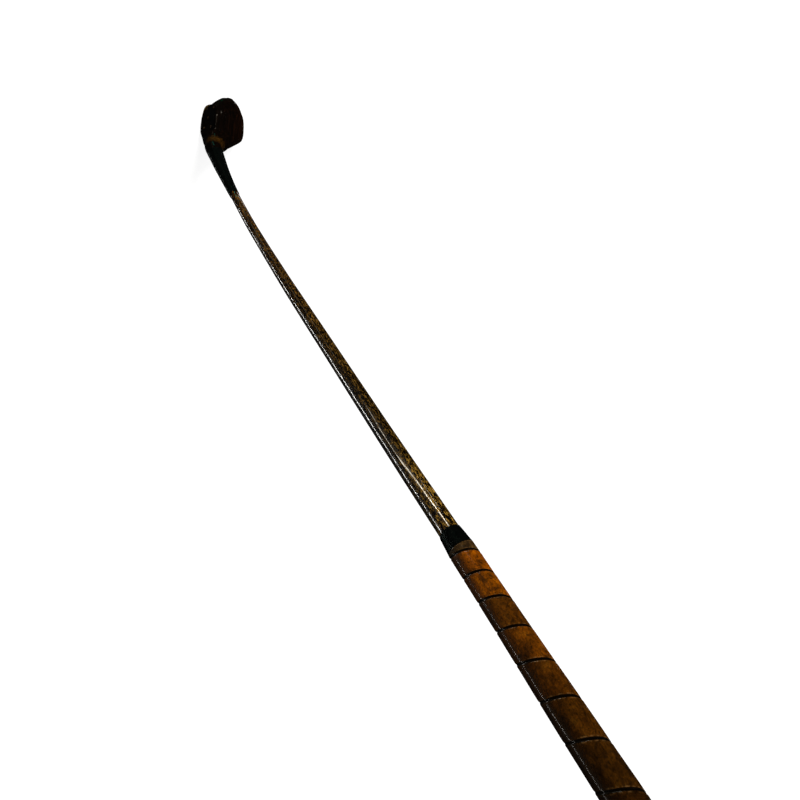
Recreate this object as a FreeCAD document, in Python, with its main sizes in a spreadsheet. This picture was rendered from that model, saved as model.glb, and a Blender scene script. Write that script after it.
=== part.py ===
import FreeCAD, Part
import math
import os

# Hickory-shafted wooden golf club (a brassie), right-handed, standing in its address position.
# Row frame: origin on the ground under the middle of the sole, +Z up, +Y towards the toe,
# the face looks along -X, the shaft rises towards -Y.  All lengths in millimetres.

V = FreeCAD.Vector
P = FreeCAD.Placement
R = FreeCAD.Rotation

doc = FreeCAD.newDocument("brassie")
sheet = doc.addObject("Spreadsheet::Sheet", "Sizes")
sheet.Label = "Sizes"
row = [1]


def cell(alias, value):
    """One driving dimension: a label in column A, its plain number in column B, and the alias."""
    sheet.set("A%d" % row[0], alias)
    sheet.set("B%d" % row[0], "%.6g" % value)
    sheet.setAlias("B%d" % row[0], alias)
    row[0] += 1


# ---- general layout
for k, v in [
    ("lie_angle", 57.0), ("face_loft", 14.0), ("axis_x", -35.2), ("axis_y", -34.4),
    ("head_x", -32.0), ("head_y", -28.0), ("fan_y", 8.0), ("fan_z", 80.0),
    ("bow_x", 0.5407), ("bow_w", 0.8412),
    ("face_x", 1.5), ("face_bulge", 2.5), ("face_roll", 0.5),
    ("neck_top_u", 156.0), ("whip_start_u", 62.8), ("whip_end_u", 196.8),
    ("collar_u", 772.0), ("grip_u", 788.0), ("grip_end_u", 1074.0),
    ("insert_half_y", 20.0), ("insert_half_v", 12.5), ("insert_depth", 5.0), ("insert_y", -1.5), ("insert_z", 18.5),
    ("face_screw_r", 2.0), ("face_screw_len", 13.0),
    ("plate_thick", 1.6), ("plate_screw_r", 3.0), ("plate_screw_shank", 1.4), ("plate_screw_len", 9.0),
    ("lead_half_x", 8.0), ("lead_half_y", 9.5), ("lead_tall", 14.0), ("lead_x", 1.0), ("lead_y", 2.0),
    ("listing_thick", 1.1), ("thread_d", 0.6),
    ("tack_head_r", 2.2), ("tack_shank_r", 0.7), ("tack_len", 9.0),
]:
    cell(k, v)

# ---- head sections: station towards the toe, front, back (from head_x), top, bottom, upper exponent
BODY = [
    (63.23, 29.06, 40.0, 22.5, 14.5, 2.0),
    (61.25, 23.38, 43.66, 25.2, 10.5, 2.0),
    (58.48, 19.73, 46.31, 28.6, 6.0, 2.1),
    (53.99, 15.01, 50.12, 32.2, 2.0, 2.2),
    (46.62, 9.06, 54.38, 35.4, -0.5, 2.3),
    (38.66, 3.2, 57.87, 38.0, -1.2, 2.4),
    (26.56, 0.21, 59.96, 39.6, -1.5, 2.4),
    (15.45, -0.1, 60.83, 40.2, -1.2, 2.35),
    (9.35, 0.86, 59.79, 40.4, -1.0, 2.3),
]
for i, r in enumerate(BODY):
    for nm, v in zip(("station", "front", "back", "top", "bottom", "power"), r):
        cell("body_%s_%d" % (nm, i), v)
# sections that turn from the body into the neck, fanned about one line above the heel
FAN = [
    (10.0, 36.45, 75.71, 3.6, 48.5, 2.2, 4.0, 2.6),
    (20.0, 34.3, 67.2, 1.39, 38.62, 2.1, 3.0, 2.4),
    (30.0, 32.2, 60.6, -0.01, 32.64, 2.05, 2.5, 2.2),
    (42.0, 31.0, 55.9, -2.81, 23.6, 2.0, 2.2, 2.1),
    (50.0, 30.3, 54.1, -4.12, 19.6, 2.0, 2.0, 2.0),
]
for i, r in enumerate(FAN):
    for nm, v in zip(("angle", "inner", "outer", "front", "back", "power", "lowfront", "lowback"), r):
        cell("turn_%s_%d" % (nm, i), v)
# neck: distance up the shaft, outside radius of the finished (wound) neck
NECK = [
    (62.8, 11.3),
    (77.8, 10.5),
    (92.8, 9.85),
    (117.8, 8.8),
    (142.8, 7.8),
    (164.8, 7.0),
    (192.8, 6.35),
    (200.0, 6.3),
]
for i, r in enumerate(NECK):
    cell("neck_u_%d" % i, r[0])
    cell("neck_rad_%d" % i, r[1])
# bow of the old hickory: distance up the shaft, offset of the centre line
BOW = [
    (-12.2, 24.06),
    (27.8, 20.0),
    (62.8, 16.35),
    (92.8, 13.35),
    (117.8, 10.82),
    (142.8, 8.7),
    (164.8, 7.05),
    (192.8, 5.38),
    (218.8, 4.05),
    (260.8, 2.05),
    (336.8, 0.2),
    (407.8, -0.75),
    (487.8, -0.9),
    (600.0, -0.9),
    (690.0, -0.7),
    (740.0, -0.33),
    (772.0, -0.06),
    (788.0, 0.0),
]
for i, r in enumerate(BOW):
    cell("bow_u_%d" % i, r[0])
    cell("bow_off_%d" % i, r[1])
# shaft radii
SHAFT = [
    (32, 4.6),
    (78, 4.9),
    (118, 5.15),
    (156, 5.3),
    (197, 5.5),
    (228, 5.65),
    (258, 5.78),
    (333, 6.1),
    (408, 6.6),
    (463, 7.0),
    (535, 7.3),
    (610, 7.6),
    (660, 7.82),
    (710, 8.04),
    (750, 8.22),
    (780, 8.36),
    (805, 8.47),
    (835, 8.59),
    (880, 8.77),
    (938, 9.0),
    (1010, 9.35),
    (1080, 9.7),
]
for i, r in enumerate(SHAFT):
    cell("shaft_u_%d" % i, r[0])
    cell("shaft_rad_%d" % i, r[1])
# outside radius of the wound leather
GRIP = [
    (788.0, 10.3),
    (825.0, 10.5),
    (865.0, 10.85),
    (908.0, 11.5),
    (965.0, 11.98),
    (1074.0, 12.55),
]
for i, r in enumerate(GRIP):
    cell("grip_u_%d" % i, r[0])
    cell("grip_rad_%d" % i, r[1])
doc.recompute()


def val(alias):
    return float(sheet.get(alias))


lie = math.radians(val("lie_angle"))
S_UP = V(0, -math.cos(lie), math.sin(lie))
W_UP = V(0, math.sin(lie), math.cos(lie))
G = V(val("axis_x"), val("axis_y"), 0)
LIE_PLACE = P(G, R(V(1, 0, 0), 90.0 - val("lie_angle")))
HX, HY = val("head_x"), val("head_y")


# ---- centre line of the shaft, a natural cubic through the bow table
def natural(xs, ys):
    n = len(xs)
    step = [xs[i + 1] - xs[i] for i in range(n - 1)]
    a = [0.0] * n
    b = [1.0] * n
    c = [0.0] * n
    d = [0.0] * n
    for i in range(1, n - 1):
        a[i] = step[i - 1]
        b[i] = 2 * (step[i - 1] + step[i])
        c[i] = step[i]
        d[i] = 6 * ((ys[i + 1] - ys[i]) / step[i] - (ys[i] - ys[i - 1]) / step[i - 1])
    for i in range(1, n):
        w = a[i] / b[i - 1]
        b[i] -= w * c[i - 1]
        d[i] -= w * d[i - 1]
    m2 = [0.0] * n
    m2[-1] = d[-1] / b[-1]
    for i in range(n - 2, -1, -1):
        m2[i] = (d[i] - c[i] * m2[i + 1]) / b[i]

    def f(x):
        if x >= xs[-1]:
            return 0.0, 0.0
        i = 0
        while i < n - 2 and x > xs[i + 1]:
            i += 1
        h = step[i]
        p = (xs[i + 1] - x) / h
        q = (x - xs[i]) / h
        y = p * ys[i] + q * ys[i + 1] + ((p ** 3 - p) * m2[i] + (q ** 3 - q) * m2[i + 1]) * h * h / 6
        dy = (ys[i + 1] - ys[i]) / h + (-(3 * p * p - 1) * m2[i] + (3 * q * q - 1) * m2[i + 1]) * h / 6
        return y, dy

    return f


bow = natural([val("bow_u_%d" % i) for i in range(len(BOW))], [val("bow_off_%d" % i) for i in range(len(BOW))])


def centre(u):
    """Point and direction of the centre line, in the shaft's own frame (X, W, up the shaft)."""
    o, do = bow(u)
    t = V(val("bow_x") * do, val("bow_w") * do, 1.0)
    t.normalize()
    return V(val("bow_x") * o, val("bow_w") * o, u), t


def to_row(p):
    return LIE_PLACE.multVec(p)


def rad_at(table, u):
    for (u0, r0), (u1, r1) in zip(table, table[1:]):
        if u <= u1:
            return r0 + (r1 - r0) * (u - u0) / (u1 - u0)
    return table[-1][1]


# ---- closed section curve: a superellipse with its own exponent in each lower quadrant
N = 28


def ring(c, ex, ev, af, ab, ht, hb, n, nf, nb):
    pts = []
    for i in range(N):
        th = 2 * math.pi * i / N
        ct, st = math.cos(th), math.sin(th)
        m = n if st >= -1e-9 else (nf if ct < 0 else nb)
        e = 2.0 / m
        x = (ab if ct > 0 else af) * math.copysign(abs(ct) ** e, ct)
        v = (ht if st > 0 else hb) * math.copysign(abs(st) ** e, st)
        if abs(ct) < 1e-9:
            x = 0.0
        if abs(st) < 1e-9:
            v = 0.0
        pts.append(c + ex * x + ev * v)
    return pts


def wire(pts):
    b = Part.BSplineCurve()
    b.interpolate(Points=pts, PeriodicFlag=True)
    return Part.Wire([b.toShape()])


def circle_ring(u, r, row_frame=True):
    p, t = centre(u)
    w = t.cross(V(1, 0, 0))
    w.normalize()
    if w.y < 0:
        w = w * -1
    e = w.cross(t)
    e.normalize()
    if e.x < 0:
        e = e * -1
    if row_frame:
        p = to_row(p)
        e = LIE_PLACE.Rotation.multVec(e)
        w = LIE_PLACE.Rotation.multVec(w)
    return ring(p, e, w, r, r, r, r, 2.0, 2.0, 2.0)


def slopes(xs, ys):
    """Shape-preserving slopes (no overshoot between stations)."""
    n = len(xs)
    h = [xs[i + 1] - xs[i] for i in range(n - 1)]
    d = [(ys[i + 1] - ys[i]) / h[i] for i in range(n - 1)]
    m = [0.0] * n
    for i in range(1, n - 1):
        if d[i - 1] * d[i] > 0:
            w1, w2 = 2 * h[i] + h[i - 1], h[i] + 2 * h[i - 1]
            m[i] = (w1 + w2) / (w1 / d[i - 1] + w2 / d[i])
    m[0] = d[0]
    m[-1] = d[-1]
    return m


def skin(rings, pitch):
    """Solid through closed rings of matching points: rings are filled in evenly between the stations,
    then one smooth surface is passed through them and capped with flat ends."""
    cnt = len(rings[0])
    dist = [0.0]
    for a, b in zip(rings, rings[1:]):
        dist.append(dist[-1] + sum((q - p).Length for p, q in zip(a, b)) / cnt)
    k = max(4, int(round(dist[-1] / pitch)))
    marks = [dist[-1] * i / k for i in range(k + 1)]
    cols = []
    for j in range(cnt):
        comp = []
        for ax in ("x", "y", "z"):
            ys = [getattr(r[j], ax) for r in rings]
            comp.append((ys, slopes(dist, ys)))
        cols.append(comp)
    out = []
    for s in marks:
        i = 0
        while i < len(dist) - 2 and s > dist[i + 1]:
            i += 1
        h = dist[i + 1] - dist[i]
        q = (s - dist[i]) / h
        h00, h10, h01, h11 = 2 * q ** 3 - 3 * q * q + 1, q ** 3 - 2 * q * q + q, -2 * q ** 3 + 3 * q * q, q ** 3 - q * q
        ring_pts = []
        for comp in cols:
            c = [h00 * ys[i] + h10 * h * ms[i] + h01 * ys[i + 1] + h11 * h * ms[i + 1] for ys, ms in comp]
            ring_pts.append(V(*c))
        out.append(ring_pts)
    start = (3 * cnt) // 4                       # the seam runs along the underside
    grid = [[r[(start + i) % cnt] for i in range(cnt + 1)] for r in out]
    surf = Part.BSplineSurface()
    surf.interpolate(grid)
    side = surf.toShape()
    closed = [e for e in side.Edges if e.isClosed()]
    caps = []
    for e in closed:
        w = Part.Wire([e])
        w.fixTolerance(1e-4)
        caps.append(Part.Face(w))
    shell = Part.makeShell([side] + caps)
    shell.sewShape()
    sol = Part.Solid(Part.Shell(shell.Faces))
    if sol.Volume < 0:
        sol.reverse()
    return sol


checks = []


def feature(name, shape, place=None):
    """A sub-part whose shape comes from surfaces worked out in this file."""
    o = doc.addObject("Part::Feature", name)
    o.Label = name
    o.Shape = shape
    o.Placement = place if place is not None else P()
    checks.append(o)
    return o


def solid_of(shape):
    s = max(shape.Solids, key=lambda q: q.Volume)
    return s.removeSplitter() if hasattr(s, "removeSplitter") else s


# ==== shaft: hickory, tapered, one loft of round sections along the bowed centre line ====
def origin_plane(body, role):
    for f in body.Origin.OriginFeatures:
        if f.Role == role:
            return f
    raise RuntimeError(role)


def loft_body(name, stations, extra=0.0):
    """PartDesign body lofted through round sketches; each radius is bound to the sheet."""
    body = doc.addObject("PartDesign::Body", name)
    body.Label = name
    sks = []
    for i, (u, expr) in enumerate(stations):
        sk = body.newObject("Sketcher::SketchObject", "%s_section_%d" % (name, i))
        sk.AttachmentSupport = [(origin_plane(body, "XY_Plane"), "")]
        sk.MapMode = "FlatFace"
        p, t = centre(u)
        sk.AttachmentOffset = P(p, R(V(0, 0, 1), t))
        sk.addGeometry(Part.Circle(V(0, 0, 0), V(0, 0, 1), 5.0), False)
        import Sketcher
        sk.addConstraint(Sketcher.Constraint("Coincident", 0, 3, -1, 1))
        k = sk.addConstraint(Sketcher.Constraint("Radius", 0, 5.0))
        sk.renameConstraint(k, "section_radius")
        sk.setExpression("Constraints.section_radius", expr)
        sks.append(sk)
    loft = body.newObject("PartDesign::AdditiveLoft", name + "_loft")
    loft.Profile = sks[0]
    loft.Sections = sks[1:]
    loft.Ruled = False
    loft.Closed = False
    body.Tip = loft
    return body


shaft = loft_body("shaft", [(val("shaft_u_%d" % i), "Sizes.shaft_rad_%d" % i) for i in range(len(SHAFT))])
shaft.Placement = LIE_PLACE
doc.recompute()
checks.append(shaft)
shaft_solid = shaft.Shape.copy()

# ==== head: carved wood, lofted from the toe through the body and the turning neck ====
wires = []
for i in range(len(BODY)):
    b, f, k, zt, zb, n = [val("body_%s_%d" % (q, i)) for q in ("station", "front", "back", "top", "bottom", "power")]
    xc, zc = (f + k) / 2, (zt + zb) / 2
    nf = 5.0 if b < 58 else 3.0
    wires.append(ring(V(HX + xc, HY + b, zc), V(1, 0, 0), V(0, 0, 1), xc - f, k - xc, zt - zc, zc - zb, n, nf, 2.8))
for i in range(len(FAN)):
    be, d0, d1, f, k, n, nf, nb = [val("turn_%s_%d" % (q, i)) for q in ("angle", "inner", "outer", "front", "back", "power", "lowfront", "lowback")]
    a = math.radians(be)
    xc, dc, hh = (f + k) / 2, (d0 + d1) / 2, (d1 - d0) / 2
    c = V(HX + xc, HY + val("fan_y") - dc * math.sin(a), val("fan_z") - dc * math.cos(a))
    wires.append(ring(c, V(1, 0, 0), V(0, math.sin(a), math.cos(a)), xc - f, k - xc, hh, hh, n, nf, nb))
NECK_T = [(val("neck_u_%d" % i), val("neck_rad_%d" % i)) for i in range(len(NECK))]
SHAFT_T = [(val("shaft_u_%d" % i), val("shaft_rad_%d" % i)) for i in range(len(SHAFT))]
# the wood of the neck runs under the thread from the start of the winding up to a thin feathered end
WHIP = 0.9
neck_top = val("neck_top_u")
whip_start = val("whip_start_u")
wires.append(circle_ring(whip_start, NECK_T[0][1] - 0.1))
for u in (66.0, 72.0, 82.0, 98.0, 120.0, 140.0, neck_top):
    wires.append(circle_ring(u, rad_at(NECK_T, u) - (WHIP if u > 70 else 0.6 * WHIP)))
head_raw = skin(wires, 4.5)

# hitting face: bulged from heel to toe, rolled from sole to crown, running out on the neck
loft_t = math.tan(math.radians(val("face_loft")))


def face_x(b, z):
    g = min(1.0, max(0.0, (b + 20.0) / 32.0))
    g = g * g * (3 - 2 * g)
    roll = val("face_roll") * ((z - 19.0) / 19.0) ** 2
    return HX + g * (val("face_x") + val("face_bulge") * ((b - 26.0) / 25.0) ** 2 + loft_t * z + roll) + (1 - g) * (-14.0)


grid = [[V(face_x(b, z), HY + b, z) for z in (-12.0, 0.0, 12.0, 24.0, 36.0, 50.0, 75.0)] for b in
        (-40.0, -26.0, -18.0, -12.0, -6.0, 0.0, 6.0, 12.0, 20.0, 30.0, 42.0, 55.0, 72.0)]
fs = Part.BSplineSurface()
fs.interpolate(grid)
face_tool = fs.toShape().extrude(V(-90, 0, 0))
head_cut = head_raw.cut(face_tool)
head_cut = max(head_cut.Solids, key=lambda q: q.Volume)
head_cut = head_cut.cut(Part.makeBox(400, 400, 100, V(-200, -200, -100)))
head_cut = max(head_cut.Solids, key=lambda q: q.Volume)

# ---- face insert: a fibre slip let into the face, held by brass screws
fl = math.radians(val("face_loft"))
FN = V(-math.cos(fl), 0, math.sin(fl))   # out of the face
FU = V(math.sin(fl), 0, math.cos(fl))    # up the face
FY = V(0, 1, 0)


def on_face(y, z):
    return V(face_x(y - HY, z), y, z)


ic = on_face(val("insert_y"), val("insert_z"))
hy, hv, dp = val("insert_half_y"), val("insert_half_v"), val("insert_depth")
slip_prism = Part.makeBox(2 * hy, 2 * hv, dp + 12, V(-hy, -hv, -dp))
slip_prism = slip_prism.makeFillet(6.0, [e for e in slip_prism.Edges if abs(e.tangentAt(e.FirstParameter).z) > 0.99])
slip_prism.Placement = P(FreeCAD.Matrix(0, FU.x, FN.x, ic.x, -1, FU.y, FN.y, ic.y, 0, FU.z, FN.z, ic.z, 0, 0, 0, 1))
insert = head_cut.common(slip_prism)
head_cut = head_cut.cut(slip_prism)


def screw(base, out, head_r, head_t, shank_r, length, slot, recess):
    """Countersunk slotted screw, its head just under the surface at base; out points away from the wood."""
    prof = [V(0, 0, -recess), V(head_r, 0, -recess), V(head_r, 0, -recess - 0.25 * head_t), V(shank_r, 0, -recess - head_t),
            V(shank_r, 0, -length + 2.0), V(0.0, 0, -length)]
    s = Part.Face(Part.makePolygon(prof + [prof[0]])).revolve(V(0, 0, 0), V(0, 0, 1), 360)
    s = s.Solids[0] if s.Solids else Part.Solid(s)
    box = Part.makeBox(head_r * 3, slot, 0.7, V(-head_r * 1.5, -slot / 2, -recess - 0.5))
    cut = s.cut(box)
    s = max(cut.Solids, key=lambda q: q.Volume)
    well = Part.makeCylinder(head_r, recess + 3.0, V(0, 0, -recess))
    hole = Part.Face(Part.makePolygon(prof + [prof[0]])).revolve(V(0, 0, 0), V(0, 0, 1), 360)
    hole = (hole.Solids[0] if hole.Solids else Part.Solid(hole)).fuse(well)
    place = P(base, R(V(0, 0, 1), out))
    s = s.copy()
    s.Placement = place
    hole.Placement = place
    return s, hole


face_screws = []
for dy, dz in ((-14.5, -7.5), (14.5, -7.5), (-14.5, 8.0), (14.5, 8.0), (0.0, 0.0)):
    s, h = screw(on_face(val("insert_y") + dy, val("insert_z") + dz), FN, val("face_screw_r"), 1.8, 1.05, val("face_screw_len"), 0.6, 0.12)
    face_screws.append(s)
    insert = insert.cut(h)
    head_cut = head_cut.cut(h)

# ---- sole plate: flat brass, let in flush with the sole, held by five countersunk screws
OUT = [
    (-28.0, 1.0),
    (-27.3, 12.0),
    (-24.0, 20.5),
    (-15.5, 25.0),
    (-4.0, 25.0),
    (6.5, 20.5),
    (13.0, 12.5),
    (15.5, 2.0),
    (13.5, -8.5),
    (7.0, -16.5),
    (-3.5, -20.5),
    (-15.0, -20.5),
    (-23.5, -16.0),
    (-27.0, -8.5),
]
pc = Part.BSplineCurve()
pc.interpolate(Points=[V(x, y, -1) for x, y in OUT], PeriodicFlag=True)
plate_prism = Part.Face(Part.Wire([pc.toShape()])).extrude(V(0, 0, 1 + val("plate_thick")))
plate = plate_prism.common(Part.makeBox(200, 200, 50, V(-100, -100, 0)))
plate = max(plate.Solids, key=lambda q: q.Volume)
head_cut = head_cut.cut(plate_prism)
sole_screws = []
SOLE_AT = ((-11.5, -15.0), (-12.0, 19.0), (-21.0, 2.0), (7.5, -12.5), (8.0, 15.5))
for x, y in SOLE_AT:
    s, h = screw(V(x, y, 0), V(0, 0, -1), val("plate_screw_r"), 2.0, val("plate_screw_shank"), val("plate_screw_len"), 0.8, 0.15)
    sole_screws.append(s)
    plate = plate.cut(h)
    head_cut = head_cut.cut(h)

# ---- lead back weight: run into a pocket behind the face, under the sole plate, between the screws
lead_raw = Part.Face(wire(ring(V(val("lead_x"), val("lead_y"), val("plate_thick")), V(1, 0, 0), V(0, 1, 0),
                               val("lead_half_x"), val("lead_half_x"), val("lead_half_y"), val("lead_half_y"), 2.4, 2.4, 2.4))).extrude(V(0, 0, val("lead_tall")))
for x, y in SOLE_AT:
    lead_raw = lead_raw.cut(Part.makeCylinder(val("plate_screw_shank") + 1.6, 40, V(x, y, -1)))
lead = max(lead_raw.Solids, key=lambda q: q.Volume)
head_cut = head_cut.cut(lead)

# ---- bore of the neck: the shaft's own taper fills it
head_cut = head_cut.cut(shaft_solid)
head_cut = max(head_cut.Solids, key=lambda q: q.Volume)
insert = max(insert.Solids, key=lambda q: q.Volume)
plate = max(plate.Solids, key=lambda q: q.Volume)

head = feature("head_block", head_cut)
feature("face_insert", insert)
feature("face_insert_screws", Part.makeCompound(face_screws))
feature("sole_plate", plate)
feature("sole_plate_screws", Part.makeCompound(sole_screws))
feature("lead_back_weight", lead)

# ==== neck whipping: tarred thread wound from the neck of the head onto the shaft ====
ww = [circle_ring(u, rad_at(NECK_T, u)) for u in (whip_start, 72.0, 81.0, 90.0, 99.0, 108.0, 117.0, 126.0, 135.0, 144.0, 153.0, 162.0, 171.0, 180.0, 189.0, val("whip_end_u"))]
whip = skin(ww, 9.0)
whip = whip.cut(head_raw).cut(shaft_solid)
whip = max(whip.Solids, key=lambda q: q.Volume)
feature("neck_whipping", whip)


# ==== grip pieces: round sleeves up the straight part of the shaft, revolved about its axis ====
def revolved(name, pts, exprs=()):
    """PartDesign body: a closed half section in the XZ plane, turned about the shaft's axis."""
    import Sketcher
    body = doc.addObject("PartDesign::Body", name)
    body.Label = name
    sk = body.newObject("Sketcher::SketchObject", name + "_half_section")
    sk.AttachmentSupport = [(origin_plane(body, "XZ_Plane"), "")]
    sk.MapMode = "FlatFace"
    n = len(pts)
    for i in range(n):
        a, b = pts[i], pts[(i + 1) % n]
        sk.addGeometry(Part.LineSegment(V(a[0], a[1], 0), V(b[0], b[1], 0)), False)
    for i in range(n):
        sk.addConstraint(Sketcher.Constraint("Coincident", i, 2, (i + 1) % n, 1))
    for i in range(n):
        kx = sk.addConstraint(Sketcher.Constraint("DistanceX", -1, 1, i, 1, pts[i][0]))
        ky = sk.addConstraint(Sketcher.Constraint("DistanceY", -1, 1, i, 1, pts[i][1]))
        for k, nm in ((kx, "px_%d" % i), (ky, "pz_%d" % i)):
            sk.renameConstraint(k, nm)
        if i < len(exprs) and exprs[i]:
            if exprs[i][0]:
                sk.setExpression("Constraints.px_%d" % i, exprs[i][0])
            if exprs[i][1]:
                sk.setExpression("Constraints.pz_%d" % i, exprs[i][1])
    rev = body.newObject("PartDesign::Revolution", name + "_revolution")
    rev.Profile = sk
    rev.ReferenceAxis = (sk, ["V_Axis"])
    rev.Angle = 360.0
    body.Tip = rev
    body.Placement = LIE_PLACE
    doc.recompute()
    checks.append(body)
    return body


gu, ge, cu = val("grip_u"), val("grip_end_u"), val("collar_u")
r_g0, r_g1 = rad_at(SHAFT_T, gu), rad_at(SHAFT_T, ge)
lt = val("listing_thick")
listing = revolved("grip_underlisting",
                   [(r_g0, gu), (r_g0 + lt, gu), (r_g1 + lt, ge), (r_g1, ge)],
                   [(None, "Sizes.grip_u"), (None, "Sizes.grip_u"), (None, "Sizes.grip_end_u"), (None, "Sizes.grip_end_u")])
GRIP_T = [(val("grip_u_%d" % i), val("grip_rad_%d" % i)) for i in range(len(GRIP))]
r_o0, r_o1 = GRIP_T[0][1], GRIP_T[-1][1]
leather = revolved("grip_leather_strip",
                   [(r_g0 + lt, gu)] + [(r, u) for u, r in GRIP_T] + [(r_g1 + lt, ge)],
                   [(None, "Sizes.grip_u")] + [("Sizes.grip_rad_%d" % i, "Sizes.grip_u_%d" % i) for i in range(len(GRIP))] + [(None, "Sizes.grip_end_u")])
r_c0 = rad_at(SHAFT_T, cu)
collar = revolved("lower_grip_whipping",
                  [(r_c0, cu), (r_c0 + 0.7, cu), (r_c0 + 1.4, cu + 5.0), (r_o0, gu), (r_g0, gu)],
                  [(None, "Sizes.collar_u"), (None, "Sizes.collar_u"), None, ("Sizes.grip_rad_0", "Sizes.grip_u"), (None, "Sizes.grip_u")])
r_b0 = rad_at(SHAFT_T, ge)
butt = revolved("butt_whipping",
                [(r_b0, ge), (r_o1, ge), (r_o1 - 0.3, ge + 2.8), (r_b0 + 0.9, ge + 4.2), (r_b0, ge + 4.2)],
                [(None, "Sizes.grip_end_u"), (None, "Sizes.grip_end_u"), None, None, None])

# ---- two brass tacks, one at each end of the leather, driven into the shaft
tacks = []
tack_holes = []
for u, ang in ((gu + 5.0, 300.0), (ge - 8.0, 250.0)):
    a = math.radians(ang)
    out = V(math.cos(a), math.sin(a), 0)
    rr = rad_at(GRIP_T, u)
    hr, sr, ln = val("tack_head_r"), val("tack_shank_r"), val("tack_len")
    prof = [V(0, 0, 0.55), V(hr * 0.55, 0, 0.42), V(hr, 0, 0.05), V(hr, 0, -0.25), V(sr, 0, -0.3), V(sr, 0, -ln + 2.5), V(0, 0, -ln)]
    s = Part.Face(Part.makePolygon(prof + [prof[0]])).revolve(V(0, 0, 0), V(0, 0, 1), 360)
    s = s.Solids[0] if s.Solids else Part.Solid(s)
    s.Placement = LIE_PLACE.multiply(P(out * rr + V(0, 0, u), R(V(0, 0, 1), out)))
    tacks.append(s)
tack_set = Part.makeCompound(tacks)
feature("grip_tacks", tack_set)


def bored(name, source, tools):
    """The body with its holes taken out, as a separate finished piece."""
    s = source.Shape.copy()
    for q in tools:
        s = s.cut(q)
    s = max(s.Solids, key=lambda q: q.Volume)
    source.Label = name + "_blank"
    doc_obj = doc.addObject("Part::Feature", name + "_finished")
    doc_obj.Label = name
    doc_obj.Shape = s
    checks.append(doc_obj)
    return doc_obj


shaft_f = bored("shaft", shaft, tacks + [screw_solid for screw_solid in sole_screws + face_screws])
listing_f = bored("grip_underlisting", listing, [shaft_solid] + tacks)
collar_f = bored("lower_grip_whipping", collar, [shaft_solid])
butt_f = bored("butt_whipping", butt, [shaft_solid])
leather_f = bored("grip_leather_strip", leather, tacks)

doc.recompute()
for o in doc.Objects:
    for st in getattr(o, "State", []):
        if st in ("Invalid", "Error"):
            raise RuntimeError("%s is %s" % (o.Label, o.State))
for o in checks:
    if o.Shape.isNull() or not o.Shape.isValid():
        raise RuntimeError("%s has a bad shape" % o.Label)

os.makedirs("parts", exist_ok=True)
written = {}
for o in checks:
    if o.Label.endswith("_blank"):
        continue
    shape = o.Shape
    written[o.Label] = shape
    shape.exportStep("parts/%s.step" % o.Label)
for nm in sorted(written):
    s = written[nm]
    bb = s.BoundBox
    print("%-22s solids %d  volume %9.1f  x %.1f..%.1f  y %.1f..%.1f  z %.1f..%.1f" % (
        nm, len(s.Solids), s.Volume, bb.XMin, bb.XMax, bb.YMin, bb.YMax, bb.ZMin, bb.ZMax))
names = sorted(written)
for i, a in enumerate(names):
    for b in names[i + 1:]:
        if written[a].BoundBox.intersect(written[b].BoundBox):
            v = written[a].common(written[b]).Volume
            if v > 0.05:
                print("overlap %s / %s %.3f" % (a, b, v))
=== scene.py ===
import bpy
import bmesh
import math
import numpy as np
from mathutils import Matrix, Vector


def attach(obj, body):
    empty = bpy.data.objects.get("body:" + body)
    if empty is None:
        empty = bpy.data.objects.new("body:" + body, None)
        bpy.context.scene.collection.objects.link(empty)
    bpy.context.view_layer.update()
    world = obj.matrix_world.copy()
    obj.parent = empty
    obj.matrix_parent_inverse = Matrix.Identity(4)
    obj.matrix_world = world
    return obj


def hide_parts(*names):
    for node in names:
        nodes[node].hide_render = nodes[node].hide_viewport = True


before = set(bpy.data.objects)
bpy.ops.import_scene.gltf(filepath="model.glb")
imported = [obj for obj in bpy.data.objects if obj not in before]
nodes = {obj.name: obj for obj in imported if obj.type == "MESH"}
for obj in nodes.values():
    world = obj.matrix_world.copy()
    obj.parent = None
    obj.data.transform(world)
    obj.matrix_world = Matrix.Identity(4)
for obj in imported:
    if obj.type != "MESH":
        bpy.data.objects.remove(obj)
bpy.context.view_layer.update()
MM = 0.001
rng = np.random.default_rng(57)

# =====================================================================
# sizes of the club, in millimetres, the same numbers as its parts
# =====================================================================
LIE = math.radians(57.0)
S_UP = np.array([0.0, -math.cos(LIE), math.sin(LIE)])
W_UP = np.array([0.0, math.sin(LIE), math.cos(LIE)])
X_UP = np.array([1.0, 0.0, 0.0])
G = np.array([-35.2, -34.4, 0.0])
HX, HY = -32.0, -28.0
BOW_X, BOW_W = 0.5407, 0.8412
BODY = [
    (63.23, 29.06, 40.0, 22.5, 14.5, 2.0), (61.25, 23.38, 43.66, 25.2, 10.5, 2.0), (58.48, 19.73, 46.31, 28.6, 6.0, 2.1),
    (53.99, 15.01, 50.12, 32.2, 2.0, 2.2), (46.62, 9.06, 54.38, 35.4, -0.5, 2.3), (38.66, 3.2, 57.87, 38.0, -1.2, 2.4),
    (26.56, 0.21, 59.96, 39.6, -1.5, 2.4), (15.45, -0.1, 60.83, 40.2, -1.2, 2.35), (9.35, 0.86, 59.79, 40.4, -1.0, 2.3),
]
FAN = [
    (10.0, 36.45, 75.71, 3.6, 48.5, 2.2, 4.0, 2.6), (20.0, 34.3, 67.2, 1.39, 38.62, 2.1, 3.0, 2.4),
    (30.0, 32.2, 60.6, -0.01, 32.64, 2.05, 2.5, 2.2), (42.0, 31.0, 55.9, -2.81, 23.6, 2.0, 2.2, 2.1),
    (50.0, 30.3, 54.1, -4.12, 19.6, 2.0, 2.0, 2.0),
]
NECK = np.array([(62.8, 11.3), (77.8, 10.5), (92.8, 9.85), (117.8, 8.8), (142.8, 7.8), (164.8, 7.0), (192.8, 6.35), (200.0, 6.3)])
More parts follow.
